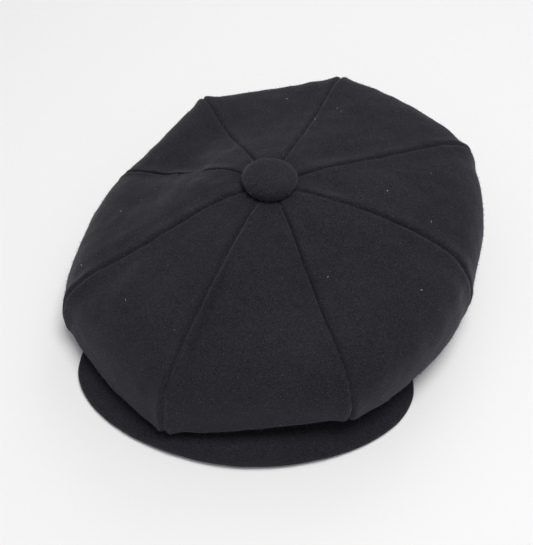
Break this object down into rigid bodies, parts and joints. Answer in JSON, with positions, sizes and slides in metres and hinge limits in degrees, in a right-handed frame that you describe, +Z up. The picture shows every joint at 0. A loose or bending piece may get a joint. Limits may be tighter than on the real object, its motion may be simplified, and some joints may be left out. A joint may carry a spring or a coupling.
{
  "type": "newsboy cap",
  "caption": "Soft wool newsboy cap: full gored crown that slouches to one side, covered top button, stiff crescent peak, hidden band with sweatband and lining.",
  "frame": {"origin": "centre of the head opening, on the surface that the cap stands on", "axes": "+Z up, the peak points to -Y, +X is the wearer's left"},
  "size_m": [0.2641, 0.2709, 0.1054],
  "materials": {
    "wool": "milled wool flannel, near black, slightly hairy",
    "lining": "satin lining, soft sheen",
    "sweatband": "ribbed cotton tape",
    "buckram": "stiffened cotton",
    "board": "plain polyethylene sheet",
    "button_metal": "pressed, bare",
    "shank_wire": "bright wire",
    "thread": "waxed button thread"
  },
  "bodies": {
    "band": {"outer_band": "wool", "band_stiffener": "buckram", "sweatband": "sweatband"},
    "crown": {"crown_panel_front": "wool", "crown_panel_left_front": "wool", "crown_panel_left": "wool", "crown_panel_left_rear": "wool", "crown_panel_rear": "wool", "crown_panel_right_rear": "wool", "crown_panel_right": "wool", "crown_panel_right_front": "wool", "lining_gore_front": "lining", "lining_gore_left_front": "lining", "lining_gore_left": "lining", "lining_gore_left_rear": "lining", "lining_gore_rear": "lining", "lining_gore_right_rear": "lining", "lining_gore_right": "lining", "lining_gore_right_front": "lining", "button_thread": "thread"},
    "button": {"button_cover": "wool", "button_shell": "button_metal", "button_back_plate": "button_metal", "button_shank": "shank_wire"},
    "peak": {"peak_upper_cover": "wool", "peak_lower_cover": "wool", "peak_board": "board"}
  },
  "joints": [
    {"name": "crown_press", "type": "slide", "parent": "band", "child": "crown", "axis": [0, 0, 1], "range_m": [-0.04, 0], "stiffness_N_per_m": 60, "springref_m": 0.015, "deforming": ["crown_panel_front", "crown_panel_left_front", "crown_panel_left", "crown_panel_left_rear", "crown_panel_rear", "crown_panel_right_rear", "crown_panel_right", "crown_panel_right_front", "lining_gore_front", "lining_gore_left_front", "lining_gore_left", "lining_gore_left_rear", "lining_gore_rear", "lining_gore_right_rear", "lining_gore_right", "lining_gore_right_front"]},
    {"name": "button_turn", "type": "hinge", "parent": "crown", "child": "button", "pos_m": [0.0085, -0.004, 0.098], "axis": [0, 0, 1], "range_deg": [-25, 25], "stiffness_Nm_per_rad": 0.002},
    {"name": "peak_flex", "type": "hinge", "parent": "band", "child": "peak", "pos_m": [0, -0.09, 0.006], "axis": [1, 0, 0], "range_deg": [-5, 15], "stiffness_Nm_per_rad": 1.5}
  ]
}
